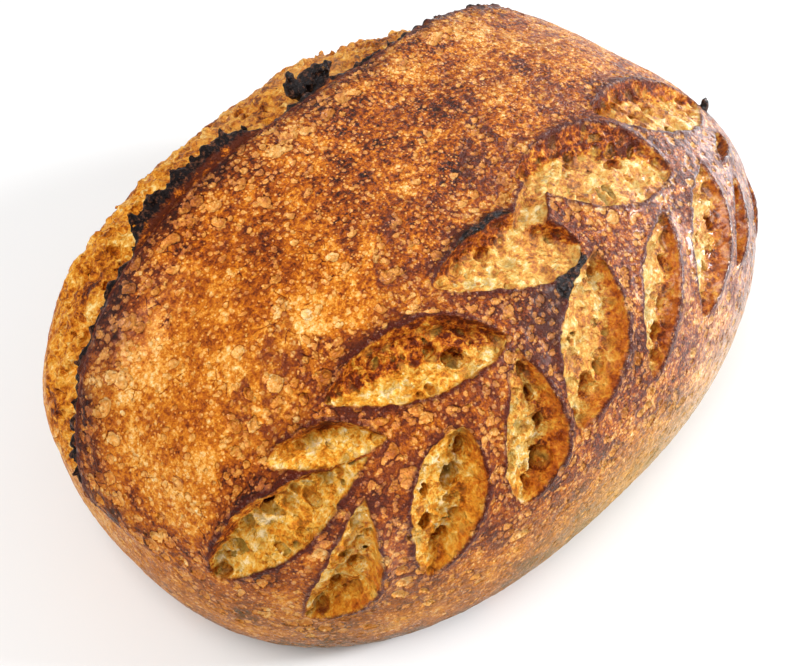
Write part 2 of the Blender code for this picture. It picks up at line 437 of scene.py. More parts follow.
class Place:
    """What lies at each point: its height over the dome, its foot, and each opening's reach.

    rim is the distance outside the nearest leaf's outline and edge how strong that outline is;
    pocket is the height out of the leaves' openings; lip is how high the leaves' lips stand.
    """

    def __init__(self, points):
        self.points = points
        self.height, _, self.feet = shell(points)
        self.swell = broad_swell(self.feet)
        self.past, self.across_bloom, self.slash = slash_place(self.feet)
        count = len(points)
        self.pocket = np.full(count, 6.0, np.float32)
        self.rim = np.full(count, 9.0, np.float32)
        self.edge, self.lip, self.scorch = np.zeros((3, count), np.float32)
        self.toast, self.wall, self.hollow = np.zeros((3, count), np.float32)
        for leaf in LEAVES:
            self.add_leaf(leaf)

    def add_leaf(self, leaf):
        mask = np.flatnonzero(leaf.near(self.feet))
        if len(mask) == 0:
            return
        here = self.feet[mask]
        side, flush, lipped, full = leaf.place(here)
        width = np.maximum(flush + lipped, 0.01)
        share = np.clip((side + flush) / width, 0.0, 1.0)
        wall = smooth(leaf.wall_from, 1.03, share)
        rim = np.where(width > 0.5, np.maximum(-(side + flush), side - lipped), 3.0)
        beyond, before = np.maximum(side - lipped, 0.0), np.maximum(-flush - side, 0.0)
        self.add_lip(leaf, mask, full, share, beyond, before)
        pocket, hollow = self.leaf_pocket(leaf, mask, full, share, width, wall, rim)

        uneven = share + 0.10 * noise(here, 7.0, 12) + 0.04 * noise(here, 2.5, 13)
        toast = leaf.toasted * smooth(leaf.brown - 0.09, leaf.brown + 0.10, uneven)
        # The wall under the lip browns: partly its own browning, partly painted shade where it faces
        # away from the light. The crevice at its foot gets a painted shade line.
        toast += 0.3 * leaf.toasted * wall
        toast += leaf.crevice * np.exp(-(((uneven - leaf.wall_from) / 0.06) ** 2))
        plain = leaf.plain_wall * smooth(leaf.wall_from + 0.04, leaf.wall_from + 0.16, share)
        deeper, closer = pocket < self.pocket[mask], rim < self.rim[mask]
        self.take(mask, deeper, pocket=pocket, hollow=hollow, toast=toast, wall=plain)
        self.take(mask, closer, rim=rim, edge=np.minimum(1.6 * full, 1.0))

    def take(self, mask, chosen, **found):
        """Take over what was found, at the chosen points of the mask."""
        for name, values in found.items():
            kept = getattr(self, name)
            kept[mask] = np.where(chosen, values, kept[mask])

    def add_lip(self, leaf, mask, full, share, beyond, before):
        """The raised, scorched lip beyond one side and the low ledge before the other."""
        lip = full * np.exp(-((beyond / (0.5 * LIP_WIDTH)) ** 2)) * smooth(0.3, 0.8, share)
        ledge = full * np.exp(-((before / 1.6) ** 2)) * smooth(0.5, 0.1, share)
        self.lip[mask] = np.maximum(self.lip[mask], leaf.lip * lip + 0.5 * ledge)
        along = (self.feet[mask] - leaf.root) @ leaf.ahead / leaf.length
        burn = leaf.scorch * lip * np.exp(-beyond / 3.0) * smooth(0.20, 0.50, along)
        self.scorch[mask] = np.maximum(self.scorch[mask], burn)

    def leaf_pocket(self, leaf, mask, full, share, width, wall, rim):
        """Signed height out of the leaf's opening, below 0 inside, and how hollow its crumb is."""
        depth = np.minimum(leaf.depth, LEAF_DEPTH_SHARE * width)
        dip = 0.3 * smooth(0.0, 0.05, share) + 0.7 * smooth(0.0, 0.6, share)
        floor = self.swell[mask] - depth * dip
        floor += 0.5 * noise(self.feet[mask], 5.5, 13) * np.minimum(full, 1.0)
        floor += (depth + leaf.lip) * wall**1.5
        pocket = soft_max(rim, floor - self.height[mask], 0.5)
        hollow = np.zeros(len(mask), np.float32)
        inner = np.flatnonzero((rim < 1.0) & (np.abs(pocket) < 5.0))
        if len(inner):
            own = self.points[mask[inner]]
            drawn = leaf.drawn(own)
            cups = np.maximum(foam(drawn, FOAM_SIZE, 5), 0.6 * foam(drawn, 0.5 * FOAM_SIZE, 9))
            cups *= smooth(-0.2, -1.2, rim[inner]) * (1.0 - 0.7 * wall[inner])
            pores = leaf.pore_depth(own)
            cupped = pocket[inner] - FOAM_DEPTH * (cups - 0.35)
            pocket[inner] = soft_min(cupped, np.maximum(-pores, rim[inner]), 0.4)
            hollow[inner] = np.maximum(0.55 * cups, smooth(-0.3, 1.9, pores))
        return pocket, hollow


# ---- the ear, the bloom and scraps


def wide_rim(x):
    return smooth(-80.0, -68.0, x) * smooth(-22.0, -34.0, x)


def rim_reach(x):
    """How far the torn edge of the ear reaches past its crest."""
    notch = 2.5 * np.exp(-(((x + 104.0) / 3.0) ** 2))
    return 2.2 + 5.0 * wide_rim(x) + 5.0 * np.exp(-(((x - 4.0) / 8.0) ** 2)) + notch


def slash_parts(place, mask):
    """Signed heights over the ear's torn edge and over the bloom behind it."""
    here, points = place.feet[mask], place.points[mask]
    rise, past, across = place.height[mask], place.past[mask], place.across_bloom[mask]
    x = here[:, 0]
    lumps = noise(points, 2.3, 9)
    jag = 0.9 * noise(here, 6.0, 8) + 1.2 * lumps + 0.9 * noise(points, 1.3, 4)
    reach = np.maximum(rim_reach(x) + jag, 0.6) * place.slash[mask]
    torn = np.clip(past / np.maximum(reach, 0.5), 0.0, 1.0)
    climb = (-0.25 + 0.60 * wide_rim(x)) * np.maximum(past, 0.0)
    groove = -0.9 * np.sin(math.pi * np.minimum(2.0 * torn, 1.0)) * wide_rim(x)
    frayed = 0.9 * lumps + 0.8 * noise(points, 1.4, 5)
    crest = EAR_LIFT + climb + groove + frayed * smooth(0.3, 0.6, torn)
    under = np.clip((EAR_LIFT - EAR_THICKNESS - rise) / 3.0, 0.0, 1.0)
    edge = reach - (EAR_UNDERCUT + reach) * under
    ear = soft_max(rise - place.swell[mask] - crest, past - edge, 0.8)

    faded = smooth(0.78, 1.02, across + 0.05 * noise(here, 9.0, 10))
    sink = BLOOM_SINK * (1.0 - 0.65 * smooth(0.1, 0.8, across))
    coarse = 2.4 * rough(here, 11.0, 3, 11) + 1.7 * noise(points, 3.0, 12) + 1.0 * noise(points, 1.4, 13)
    coarse -= 1.6 * foam(points, 3.8, 4)
    bloom = rise - place.swell[mask] + (sink - coarse) * (1.0 - faded)
    return ear, bloom


def scrap_height(points, start, end, start_radius, end_radius):
    """Signed height over one smooth scrap of burnt dough."""
    start, end = np.array(start, np.float32), np.array(end, np.float32)
    line = end - start
    share = np.clip((points - start) @ line / (line @ line), 0.0, 1.0)
    away = np.linalg.norm(points - start - share[:, None] * line, axis=1)
    return away - start_radius - (end_radius - start_radius) * share


def loaf_field(points):
    """Signed height of points over the finished surface, before the small relief."""
    place = Place(points)
    near_ear = place.slash * smooth(-EAR_RAMP, 0.0, place.past)
    top = place.swell + np.maximum(place.lip, EAR_LIFT * near_ear)
    field = soft_max(place.height - top, -place.pocket, 0.4)

    opening = (place.past > -EAR_UNDERCUT - 4.0) & (place.slash > 0.0)
    if opening.any():
        ear, bloom = slash_parts(place, opening)
        flap = np.where(place.past[opening] > 0.0, ear, soft_max(field[opening], ear, 0.3))
        joined = soft_min(flap, bloom, 0.4)
        share = place.slash[opening]
        field[opening] = field[opening] * (1.0 - share) + joined * share
    for number, row in enumerate(BURNT_SCRAPS):
        near = np.linalg.norm(points - np.array(row[0], np.float32), axis=1) < SCRAP_REACH
        if near.any():
            here = points[near]
            ragged = noise(here, 2.4, number) + 0.7 * noise(here, 1.3, number + 1)
            field[near] = soft_min(field[near], scrap_height(here, *row) + ragged, 0.5)
    return field


def broad_swell(feet):
    """Uneven swelling of the whole loaf. It fades towards the waist, so the box stays the CAD's."""
    fade = smooth(WAIST_HEIGHT + 4.0, WAIST_HEIGHT + 30.0, feet[:, 2])
    fade *= 1.0 - 0.7 * smooth(HEIGHT - 12.0, HEIGHT, feet[:, 2])
    return fade * (1.1 * noise(feet, 46.0, 1) + 0.5 * noise(feet, 17.0, 2))


# ---- from field to mesh

BLOCK = 8  # voxels along one side of a block
BATCH = 2000  # blocks worked out at once
BAND = 3.0  # the field is cut off this far from the surface
MARGIN = 6.0
FLAT_BELOW = 0.03  # anything lower lies on the flat base
CRUST_BANDS = (-72.0, -24.0, 24.0, 72.0)  # stations at which the crust is divided into pieces


def loaf_surface():
    """Points and quads of the finished surface. Only blocks near it are worked out."""
    low = loaf_low - MARGIN
    size = VOXEL * BLOCK
    blocks = np.ceil((loaf_high + MARGIN - low) / size).astype(int)
    index = np.stack(np.meshgrid(*map(np.arange, blocks), indexing="ij"), -1).reshape(-1, 3)
    height = shell((low + (index + 0.5) * size).astype(np.float32))[0]
    values = np.where(height < 0.0, np.float32(-BAND), np.float32(BAND)).reshape(blocks)
    values = values.repeat(BLOCK, 0).repeat(BLOCK, 1).repeat(BLOCK, 2)
    wanted = index[(height > -0.9 * size - 10.0) & (height < 0.9 * size + 8.0)]

    inner = np.stack(np.meshgrid(*[np.arange(BLOCK)] * 3, indexing="ij"), -1).reshape(-1, 3)
    for start in range(0, len(wanted), BATCH):
        voxel = (wanted[start : start + BATCH, None] * BLOCK + inner).reshape(-1, 3)
        found = loaf_field((low + voxel * VOXEL).astype(np.float32))
        values[tuple(voxel.T)] = np.clip(found, -BAND, BAND)
    grid = openvdb.FloatGrid(BAND)
    grid.copyFromArray(values)
    points, quads = grid.convertToQuads(0.0)
    return (low + points * VOXEL).astype(np.float32), quads[:, ::-1].astype(np.int32)


def vertex_normals(points, quads):
    """Normals averaged over the quads round each vertex."""
    corner = points[quads]
    flat = np.cross(corner[:, 2] - corner[:, 0], corner[:, 3] - corner[:, 1])
    total = np.zeros_like(points)
    for side, axis in itertools.product(range(4), range(3)):
        total[:, axis] += np.bincount(quads[:, side], flat[:, axis], len(points))
    return total / np.maximum(np.linalg.norm(total, axis=1, keepdims=True), 1e-9)


# ---- small relief and masks


def spots(points, table):
    """Sum of soft round spots: each row is a centre, a radius and a strength."""
    total = np.zeros(len(points), np.float32)
    for centre, radius, strength in table:
        away = points - np.array(centre, np.float32)
        total += strength * np.exp(-np.einsum("ij,ij->i", away, away) / (radius * radius))
    return total


def opening_masks(place, masks):
    """Where the crumb is open, how the crumb and the torn edges are baked, and the painted shade in
    creases, crevices and deep pores.
    """
    points, feet, past, slash = place.points, place.feet, place.past, place.slash
    below = place.swell + np.maximum(place.lip, 0.0) - place.height
    in_leaf = smooth(0.2, -0.3, place.rim) * smooth(0.2, 0.8, below)
    across = place.across_bloom + 0.06 * noise(points, 6.0, 10) + 0.03 * noise(points, 2.0, 3)
    opened = slash * smooth(0.3, 0.9, past) * smooth(0.98, 0.9, across)
    masks["crumb"] = np.maximum(in_leaf, opened)
    masks["bloom"] = np.maximum(opened - in_leaf, 0.0)
    masks["hollow"] = place.hollow * in_leaf
    masks["wall"] = place.wall * in_leaf

    reach = rim_reach(feet[:, 0])
    on_rim = slash * smooth(0.0, 0.5, past) * smooth(1.8, 0.6, past - reach)
    on_rim *= smooth(-4.5, -2.0, place.height)
    torn = past / reach + 0.10 * noise(points, 3.5, 8)
    charred = on_rim * smooth(0.28, 0.66, torn)
    for row in BURNT_SCRAPS:
        charred = np.maximum(charred, smooth(1.6, 0.6, scrap_height(points, *row)))
    burnt = smooth(0.75, 1.10, place.scorch + 0.3 * noise(points, 2.6, 7))
    burnt = np.maximum(burnt, smooth(0.5, 0.8, spots(points, CHARRED_SPOTS)))
    masks["char"] = np.maximum(charred, burnt * (1.0 - in_leaf))

    # Dark line along the leaves' outlines and the ear's crest: partly the scorched cut edge, partly
    # painted shade in the crease
    edge = place.edge * np.exp(-((place.rim / np.where(place.rim > 0.0, 0.7, 0.5)) ** 2))
    crest = 0.9 * slash * np.exp(-(((past - 0.2) / 0.6) ** 2))
    masks["edge_and_crease_shade"] = np.clip(np.maximum(1.1 * edge, crest), 0.0, 1.0)
    patches = spots(points, TOASTED_SPOTS) + 0.5 * smooth(0.1, 0.7, noise(points, 11.0, 6))
    patches += 0.6 * smooth(0.80, 1.0, across) + 0.4 * smooth(4.0, 0.0, past - reach)
    toast = np.where(opened > in_leaf, 0.72 * patches - 0.02, place.toast + 0.4 * edge)
    toast = np.maximum(toast, 1.5 * on_rim)
    masks["toast"] = np.clip(toast + 0.15 * noise(points, 2.5, 2), 0.0, 1.6)


def baking_masks(place, masks):
    """How far the crust is baked, where it is scorched, and where it shines."""
    points, feet, past, slash = place.points, place.feet, place.past, place.slash
    x, y, z = feet.T
    pale_spots, dark_spots = spots(points, PALE_SPOTS), spots(points, DARK_SPOTS)
    left, low = smooth(10.0, -80.0, x), smooth(66.0, 22.0, z)
    tone = 0.43 + 0.03 * left + 0.08 * noise(feet, 34.0, 3) + 0.36 * rough(feet, 14.0, 4, 4)
    tone += 0.10 * pale_spots - 0.20 * dark_spots
    tone -= 0.15 * smooth(10.0, 2.0, place.rim) * smooth(40.0, 60.0, z)
    tone += 0.09 * smooth(-10.0, 60.0, x) - 0.20 * smooth(30.0, 4.0, z)
    tone += 0.07 * left * low * smooth(-35.0, -15.0, y)
    tone -= 0.09 * low * smooth(-20.0, -50.0, y)
    tone -= 0.08 * smooth(30.0, 80.0, x) * smooth(-40.0, -65.0, y)
    masks.update(tone=tone, left=left, low=low)
    masks["pale"] = smooth(0.22, 0.42, rough(feet, 12.0, 4, 9) + 0.30 * pale_spots - 0.4 * dark_spots)

    around = smooth(-100.0, -86.0, x) * smooth(11.0, 3.0, place.rim + 3.0 * noise(feet, 9.0, 11))
    masks["purple"] = np.clip(around + 0.35 * smooth(0.0, 90.0, x), 0.0, 1.0)
    shine = smooth(0.0, 50.0, x) * smooth(-20.0, -55.0, y)
    masks["shine"] = np.clip(shine + spots(points, SHINY_SPOTS), 0.0, 1.0)

    band = 5.5 + 3.0 * smooth(-80.0, -100.0, x) + 3.0 * noise(feet, 12.0, 6)
    near_crest = np.exp(-((np.minimum(past, 0.0) / band) ** 2)) * smooth(0.8, 0.0, past)
    strength = 0.52 + 0.34 * smooth(-20.0, -95.0, x) + 0.22 * smooth(-30.0, 0.0, x)
    strength += 0.9 * rough(points, 7.0, 3, 3)
    scorch = np.maximum(slash * near_crest * strength, place.scorch)
    masks["scorch"] = np.clip(np.maximum(scorch, spots(points, SCORCHED_SPOTS)), 0.0, 1.3)


def blister_masks(place, masks):
    """Where blisters, flakes and beads stand out of the crust. They are above 0 on one."""
    points, feet, past = place.points, place.feet, place.past
    x = feet[:, 0]
    bubbly = smooth(10.0, 3.0, place.rim) * (1.0 - 0.6 * smooth(0.0, 45.0, x))
    bubbly += 0.35 * smooth(60.0, 40.0, feet[:, 2]) * smooth(-40.0, 20.0, x)
    bubbly += 1.2 * place.slash * smooth(-16.0, -8.0, past) * smooth(0.5, -1.5, past)
    bubbly = np.minimum(bubbly + spots(points, BUBBLY_SPOTS), 1.3)
    masks["bubbly"] = bubbly

    drift = np.stack([noise(points, 2.4, kind) for kind in (4, 5, 6)], axis=1)
    wavy = points + 0.7 * drift
    first, second, number = cells(wavy, 4.6, 1)
    radius = 2.6 * (number - 0.42 + 0.2 * masks["pale"] + 0.42 * bubbly)
    masks["flake"] = np.minimum(radius - first, 0.6 * (second - first))
    masks["flake_light"] = (number * 37.0) % 1.0
    first, second, number = cells(wavy, 2.3, 2)
    radius = 1.15 * (number - 0.12 + 0.35 * bubbly)
    masks["bead"] = np.minimum(radius - first, 0.6 * (second - first))


def surface_masks(points):
    """What each vertex is made of, how it is baked, and where shade and sheen are painted on it."""
    place = Place(points)
    masks = {}
    opening_masks(place, masks)
    baking_masks(place, masks)
    blister_masks(place, masks)
    return masks


def small_relief(points, masks):
    """Height of blisters, flakes and grain, in mm."""
    crust = (1.0 - masks["crumb"]) * smooth(1.0, 8.0, points[:, 2])
    grain = 0.10 * noise(points, 1.6, 9) + 0.12 * noise(points, 3.4, 10)
    flakes = (0.34 + 0.60 * masks["bubbly"]) * smooth(-0.15, 1.2, masks["flake"])
    flakes += (0.42 - 0.16 * masks["left"]) * smooth(-0.1, 0.45, masks["bead"])
    relief = crust * (flakes + grain + 0.5 * masks["scorch"] * noise(points, 3.2, 6))
    relief += masks["crumb"] * (0.20 * noise(points, 1.4, 11) + 0.15 * noise(points, 2.6, 12))
    return relief + masks["char"] * 0.4 * noise(points, 1.7, 13)


def add_object(name, data):
    item = bpy.data.objects.new(name, data)
    bpy.context.scene.collection.objects.link(item)
    return item


def make_piece(name, material, points, faces, normals, masks):
    """One mesh piece from some of the faces, with only the vertices that they use."""
    used, corners = np.unique(faces, return_inverse=True)
    count, sides = faces.shape
    mesh = bpy.data.meshes.new(name)
    mesh.vertices.add(len(used))
    mesh.vertices.foreach_set("co", (points[used] * MM).astype(np.float32).ravel())
    mesh.loops.add(sides * count)
    mesh.loops.foreach_set("vertex_index", corners.ravel().astype(np.int32))
    mesh.polygons.add(count)
    mesh.polygons.foreach_set("loop_start", np.arange(0, sides * count, sides, dtype=np.int32))
    mesh.update()
    mesh.shade_smooth()
    mesh.normals_split_custom_set_from_vertices(normals[used].astype(np.float32))
    for mask_name, values in masks.items():
        layer = mesh.attributes.new(mask_name, "FLOAT", "POINT")
        layer.data.foreach_set("value", np.clip(values[used], -1.0, 2.0).astype(np.float32))
    mesh.materials.append(material)
    piece = add_object(name, mesh)
    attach(piece, "root")
    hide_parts("loaf")


def base_fan(quads, centre):
    """Triangles from the rim of the flat base to its middle."""
    ahead = np.concatenate([quads[:, (side, (side + 1) % 4)] for side in range(4)]).astype(np.int64)
    key = ahead[:, 0] * (centre + 1) + ahead[:, 1]
    back = ahead[:, 1] * (centre + 1) + ahead[:, 0]
    rim = ahead[~np.isin(key, back)]
    return np.column_stack((rim, np.full(len(rim), centre)))


def make_pieces():
    points, quads = loaf_surface()
    normals = vertex_normals(points, quads)
    masks = surface_masks(points)
    points = points + normals * small_relief(points, masks)[:, None]
    points[points[:, 2] < FLAT_BELOW, 2] = 0.0
    normals = vertex_normals(points, quads)

    char, crumb, bloom = (masks[key][quads].mean(axis=1) > 0.5 for key in ("char", "crumb", "bloom"))
    crumb &= ~char
    bloom &= crumb
    base = (points[quads][:, :, 2] == 0.0).all(axis=1)
    crust = ~(char | crumb | base)
    band = np.searchsorted(CRUST_BANDS, points[quads][:, :, 0].mean(axis=1))
    materials = {slot: bread_material(slot) for slot in ("crust", "crumb", "char")}
    bands = range(len(CRUST_BANDS) + 1)
    parts = [(f"crust_{number + 1}", "crust", crust & (band == number)) for number in bands]
    parts += [
        ("leaf_crumb", "crumb", crumb & ~bloom),
        ("bloom_crumb", "crumb", bloom),
        ("burnt_edge", "char", char),
    ]
    for name, slot, chosen in parts:
        make_piece(name, materials[slot], points, quads[chosen], normals, masks)

    fan = base_fan(quads[base], len(points))
    points = np.vstack((points, np.zeros(3, np.float32)))
    down = np.tile(np.array((0.0, 0.0, -1.0), np.float32), (len(points), 1))
    at_base = quads[base][0, 0]
    masks = {mask_name: np.append(values, values[at_base]) for mask_name, values in masks.items()}
    make_piece("base", materials["crust"], points, fan, down, masks)


# ---- materials


def linear(colour):
    """A screen colour of 0 to 255 as the linear values that Blender takes, with alpha."""
    shares = [channel / 255.0 for channel in colour]
    return (*(s / 12.92 if s <= 0.04045 else ((s + 0.055) / 1.055) ** 2.4 for s in shares), 1.0)


class Nodes:
    """Short names for building one material's nodes."""

    def __init__(self, name):
        self.material = bpy.data.materials.new(name)
        self.material.use_nodes = True
        self.tree = self.material.node_tree
        self.shader = self.tree.nodes["Principled BSDF"]

    def new(self, kind, **settings):
        node = self.tree.nodes.new(kind)
        for key, value in settings.items():
            setattr(node, key, value)
        return node

    def put(self, socket, value):
        if isinstance(value, bpy.types.NodeSocket):
            self.tree.links.new(value, socket)
        else:
            socket.default_value = value

    def shade(self, name, value):
        self.put(self.shader.inputs[name], value)

    def mask(self, name):
        return self.new("ShaderNodeAttribute", attribute_name=name).outputs["Fac"]

    def calc(self, operation, a, b=0.0, c=0.0):
        node = self.new("ShaderNodeMath", operation=operation)
        for socket, value in zip(node.inputs, (a, b, c), strict=True):
            self.put(socket, value)
        return node.outputs[0]

    def times(self, a, b):
        return self.calc("MULTIPLY", a, b)

    def rest(self, value):
        return self.calc("SUBTRACT", 1.0, value)

    def larger(self, a, b):
        return self.calc("MAXIMUM", a, b)

    def towards(self, value, goal, share):
        """The value moved by a share of the way to the goal."""
        return self.calc("MULTIPLY_ADD", self.calc("SUBTRACT", goal, value), share, value)

    def total(self, *parts):
        """Sum of a number and any count of (socket, weight) pairs."""
        result = parts[0]
        for socket, weight in parts[1:]:
            result = self.calc("MULTIPLY_ADD", socket, weight, result)
        return result

    def mix(self, share, a, b):
        node = self.new("ShaderNodeMix", data_type="RGBA")
        self.put(node.inputs["Factor"], share)
        self.put(node.inputs[6], a if isinstance(a, bpy.types.NodeSocket) else linear(a))
        self.put(node.inputs[7], b if isinstance(b, bpy.types.NodeSocket) else linear(b))
        return node.outputs[2]

    def ramp(self, value, stops):
        node = self.new("ShaderNodeValToRGB")
        ramp = node.color_ramp
        while len(ramp.elements) < len(stops):
            ramp.elements.new(0.5)
        for element, (place, colour) in zip(ramp.elements, stops, strict=True):
            element.position = place
            element.color = linear(colour)
        self.put(node.inputs["Fac"], value)
        return node.outputs["Color"]

    def range(self, value, low, high, to_low=0.0, to_high=1.0):
        node = self.new("ShaderNodeMapRange")
        for socket, number in zip(node.inputs[:5], (value, low, high, to_low, to_high), strict=True):
            self.put(socket, number)
        return node.outputs[0]


CRUST_TONES = (
    (0.00, (32, 15, 10)),
    (0.15, (80, 30, 8)),
    (0.30, (132, 56, 8)),
    (0.45, (176, 88, 14)),
    (0.60, (210, 122, 26)),
    (0.75, (236, 162, 66)),
    (0.88, (249, 197, 120)),
    (1.00, (255, 228, 172)),
)
CRUMB_TONES = (
    (0.00, (92, 32, 8)),
    (0.16, (150, 66, 14)),
    (0.32, (200, 110, 26)),
    (0.48, (224, 152, 48)),
    (0.64, (236, 188, 88)),
    (0.82, (248, 218, 144)),
    (1.00, (255, 240, 196)),
)
BLOOM_TONES = (
    (0.00, (74, 28, 8)),
    (0.22, (150, 72, 10)),
    (0.42, (204, 116, 22)),
    (0.62, (231, 150, 38)),
    (0.82, (244, 180, 72)),
    (1.00, (255, 220, 136)),
)
CHAR_DARK = (20, 12, 12)
CHAR_LIGHT = (104, 64, 44)
# dark olive-brown painted at the bottom of deep pores as shade
DEEP_PORE_SHADE = (84, 52, 12)
WINDOW = (164, 138, 62)
GOLDEN = (236, 160, 34)
SCORCHED = (50, 22, 16)
# dark red-brown of the scorched cut edge with painted shade in the crease
EDGE_AND_CREASE_SHADE = (84, 26, 10)
PALE_SIDE = (206, 172, 82)
# pale beige painted on the crumb towards +X as sheen
CRUMB_SHEEN = (222, 186, 132)
# pale tan painted on raised blisters as sheen
SHEEN_TAN = (224, 171, 98)
PURPLE = (108, 48, 30)

BEAD_RADIUS = 0.42  # of one cell of the bead pattern
LINE_BEND = 0.0012  # how far a line wanders, in metres
BUMP_STRENGTH = 0.9
BUMP_DISTANCE = 0.0006
COAT_ROUGHNESS = 0.26


class Bread(Nodes):
    """The baked bread's material: patterns that its looks share, and a method for each look."""

    def __init__(self, name):
        super().__init__(name)
        self.place = self.new("ShaderNodeTexCoord").outputs["Object"]
        self.grain = self.noise(1.4, 3.0, 0.7)
        self.mottle = self.noise(5.6, 5.0, 0.68)
        self.dust = self.noise(0.6, 1.0)
        self.left, self.low, self.toast = map(self.mask, ("left", "low", "toast"))
        self.right = self.range(self.left, 0.0, 0.8, 1.0, 0.0)
        self.cracks = self.times(self.mask("pale"), self.lines(4.2, 0.045, 0.50))

        ragged = self.calc("MULTIPLY_ADD", self.noise(1.0, 2.0), 0.4, -0.2)
        self.burnt = self.range(self.calc("ADD", self.mask("char"), ragged), 0.20, 0.70)
        self.flake = self.range(self.calc("ADD", self.mask("flake"), ragged), 0.0, 0.16)
        self.bead = self.range(self.calc("ADD", self.mask("bead"), self.times(ragged, 0.6)), 0.0, 0.14)
        self.small, self.small_dome = self.beads(1.9, 0.36)
        self.tiny, self.tiny_dome = self.beads(0.95, 0.26)
        scattered = self.larger(self.small, self.tiny)
        self.blistered = self.larger(self.larger(self.flake, self.bead), scattered)

    def pattern(self, kind, size_mm, place=None, **settings):
        """A texture node with features about size_mm across."""
        node = self.new(kind, **settings)
        self.put(node.inputs["Vector"], self.place if place is None else place)
        self.put(node.inputs["Scale"], 1000.0 / size_mm)
        return node

    def noise(self, size_mm, detail=3.0, roughness=0.55):
        node = self.pattern("ShaderNodeTexNoise", size_mm)
        self.put(node.inputs["Detail"], detail)
        self.put(node.inputs["Roughness"], roughness)
        return self.range(node.outputs["Fac"], 0.32, 0.68)

    def beads(self, size_mm, share):
        """Scattered round beads: where they are, and their domed height."""
        node = self.pattern("ShaderNodeTexVoronoi", size_mm)
        split = self.new("ShaderNodeSeparateColor")
        self.put(split.inputs[0], node.outputs["Color"])
        picked = self.range(split.outputs[0], 1.0 - share, 1.05 - share)
        crisp = self.range(node.outputs["Distance"], BEAD_RADIUS, 0.75 * BEAD_RADIUS)
        domed = self.range(node.outputs["Distance"], BEAD_RADIUS, 0.1 * BEAD_RADIUS)
        return self.times(picked, crisp), self.times(picked, domed)

    def lines(self, size_mm, width, gap):
        """Thin wandering lines between cells, broken where a noise is under gap."""
        bend = self.pattern("ShaderNodeTexNoise", 0.5 * size_mm)
        moved = self.new("ShaderNodeVectorMath", operation="MULTIPLY_ADD")
        self.put(moved.inputs[0], bend.outputs["Color"])
        self.put(moved.inputs[1], (LINE_BEND,) * 3)
        self.put(moved.inputs[2], self.place)
        moved = moved.outputs[0]
        node = self.pattern("ShaderNodeTexVoronoi", size_mm, moved, feature="DISTANCE_TO_EDGE")
        line = self.range(node.outputs["Distance"], width, 0.3 * width)
        gaps = self.pattern("ShaderNodeTexNoise", 1.3 * size_mm)
        return self.times(line, self.range(gaps.outputs["Fac"], gap, gap + 0.08))

    def crust_tone(self):
        """How the crust is baked, from 0 where it is nearly black to 1 where it is pale, with painted
        shade round the flakes and in the creases.
        """
        wild = self.range(self.left, 0.0, 1.0, 1.6, 1.0)
        wild = self.times(wild, self.range(self.low, 0.0, 1.0, 1.0, 0.65))
        speckle = self.total(-0.345, (self.mottle, 0.31), (self.grain, 0.26), (self.dust, 0.12))
        tone = self.calc("MULTIPLY_ADD", speckle, wild, self.mask("tone"))
        # Painted shade: a dark ring round the foot of each flake
        outline = self.calc("SUBTRACT", self.range(self.mask("flake"), -0.5, -0.05), self.flake)
        tone = self.total(tone, (outline, -0.12), (self.mask("scorch"), -0.32))
        tone = self.total(tone, (self.mask("edge_and_crease_shade"), -0.20), (self.mask("pale"), 0.12))
        layers = (
            # The tiny beads' paler tops are their own colour; their extra lift towards +X is painted
            # highlight
            (self.tiny, 0.85, self.range(self.left, 0.0, 1.0, 0.36, 0.25)),
            (self.small, 0.80, 0.24),
            (self.bead, 0.75, 0.20),
            (self.flake, 0.85, self.range(self.mask("flake_light"), 0.0, 1.0, 0.06, 0.34)),
        )
        for layer, strength, lift in layers:
            lifted = self.calc("ADD", self.towards(tone, 0.52, 0.45), lift)
            tone = self.towards(tone, lifted, self.times(layer, strength))
        return self.total(tone, (self.cracks, -0.30))

    def crust_colour(self):
        tone = self.crust_tone()
        colour = self.ramp(tone, CRUST_TONES)
        # Painted sheen: raised blisters on the top and towards +X are mixed towards a pale tan
        blister_sheen = self.times(self.range(self.left, 0.55, 1.0, 0.38, 0.08), self.rest(self.low))
        blister_sheen = self.times(blister_sheen, self.range(tone, 0.30, 0.75, 0.35, 1.0))
        colour = self.mix(self.times(blister_sheen, self.blistered), colour, SHEEN_TAN)
        bare = self.rest(self.larger(self.flake, self.times(self.bead, 0.8)))
        purple = self.times(self.mask("purple"), self.range(self.mottle, 0.25, 0.9, 0.50, 0.05))
        colour = self.mix(self.times(purple, bare), colour, PURPLE)
        scorch = self.times(self.mask("scorch"), self.range(bare, 0.0, 1.0, 0.12, 0.60))
        colour = self.mix(scorch, colour, SCORCHED)
        # Painted sheen: blisters where the crust shines are mixed further towards the pale tan
        spot_sheen = self.times(self.mask("shine"), self.larger(self.flake, self.bead))
        colour = self.mix(self.times(spot_sheen, 0.40), colour, SHEEN_TAN)
        pale = self.times(self.low, self.calc("MULTIPLY_ADD", self.right, 0.34, 0.16))
        return self.mix(pale, colour, PALE_SIDE)

    def crumb_colour(self):
        hollow, bloom = self.mask("hollow"), self.mask("bloom")
        broad, medium = self.noise(8.0, 2.0, 0.5), self.noise(2.8, 3.0, 0.6)
        rusty = self.range(self.noise(4.6, 4.0, 0.65), 0.50, 0.70)
        webs, fine_webs = self.lines(2.6, 0.16, 0.42), self.lines(1.3, 0.16, 0.46)
        tone = self.total(-0.02, (broad, 0.38), (medium, 0.40), (self.grain, 0.16), (self.dust, 0.12))
        tone = self.total(tone, (webs, 0.18), (fine_webs, 0.12), (rusty, -0.22), (self.toast, -0.46))
        # The wall under the lip goes a plain orange-brown: partly its own browning, partly painted shade
        tone = self.towards(tone, 0.36, self.times(self.mask("wall"), 0.55))
        tone = self.total(tone, (bloom, 0.05), (self.left, 0.05))

